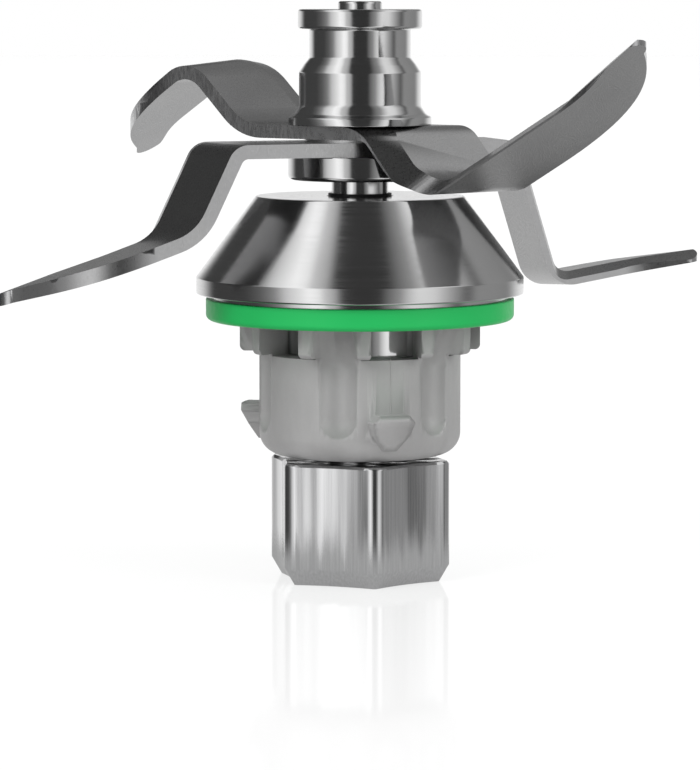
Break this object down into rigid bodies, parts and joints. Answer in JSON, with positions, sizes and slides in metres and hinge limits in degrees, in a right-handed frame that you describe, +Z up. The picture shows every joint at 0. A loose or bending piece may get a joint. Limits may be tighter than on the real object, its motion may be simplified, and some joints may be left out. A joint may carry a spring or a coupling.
{
  "type": "blender blade assembly",
  "caption": "Crossed folded cutting blades on a spindle above a conical cover, with a soft sealing ring, a cast bearing housing with bayonet lugs and a lobed drive coupling.",
  "frame": {"origin": "on the spin axis, in the plane of the drive coupling's bottom face", "axes": "+Z up along the spin axis, from the coupling to the hub cap; the picture is taken from -Y, with +X to its right"},
  "size_m": [0.1325, 0.1058, 0.1094],
  "materials": {
    "blade_steel": "rolled stainless steel, ground on the cutting edges",
    "turned_steel": "turned stainless steel with fine lathe lines",
    "coupling_steel": "drawn stainless steel, smooth",
    "spindle_steel": "ground stainless steel",
    "bearing_steel": "polished steel",
    "cage_steel": "pressed steel",
    "cast_housing": "as cast, matte, fine grain",
    "green_silicone": "soft, satin",
    "seal_rubber": "soft, matte"
  },
  "bodies": {
    "housing": {"bearing_housing": "cast_housing", "bearing_tube": "bearing_steel", "lower_outer_race": "bearing_steel", "upper_outer_race": "bearing_steel", "outer_spacer": "spindle_steel", "preload_washer": "spindle_steel", "tube_circlip": "bearing_steel", "bearing_shields": "bearing_steel", "cone_cover": "turned_steel", "seal_ring": "green_silicone", "shaft_seal": "seal_rubber", "garter_spring": "bearing_steel"},
    "rotor": {"spindle": "spindle_steel", "hub_cap": "turned_steel", "upper_blade": "blade_steel", "blade_spacer": "spindle_steel", "lower_blade": "blade_steel", "blade_collar": "turned_steel", "neck_sleeve": "spindle_steel", "upper_inner_race": "bearing_steel", "inner_spacer": "spindle_steel", "lower_inner_race": "bearing_steel", "drive_coupling": "coupling_steel", "coupling_washer": "spindle_steel", "coupling_nut": "spindle_steel"},
    "upper_cage": {"upper_cage": "cage_steel", "upper_balls": "bearing_steel"},
    "lower_cage": {"lower_cage": "cage_steel", "lower_balls": "bearing_steel"}
  },
  "joints": [
    {"name": "blade_spin", "type": "hinge", "parent": "housing", "child": "rotor", "pos_m": [0, 0, 0.05], "axis": [0, 0, 1], "continuous": true},
    {"name": "upper_cage_spin", "type": "hinge", "parent": "housing", "child": "upper_cage", "pos_m": [0, 0, 0.0477], "axis": [0, 0, 1], "continuous": true},
    {"name": "lower_cage_spin", "type": "hinge", "parent": "housing", "child": "lower_cage", "pos_m": [0, 0, 0.0292], "axis": [0, 0, 1], "continuous": true}
  ],
  "couplings": [
    {"joint": "upper_cage_spin", "follows": "blade_spin", "ratio": 0.37},
    {"joint": "lower_cage_spin", "follows": "blade_spin", "ratio": 0.37}
  ]
}
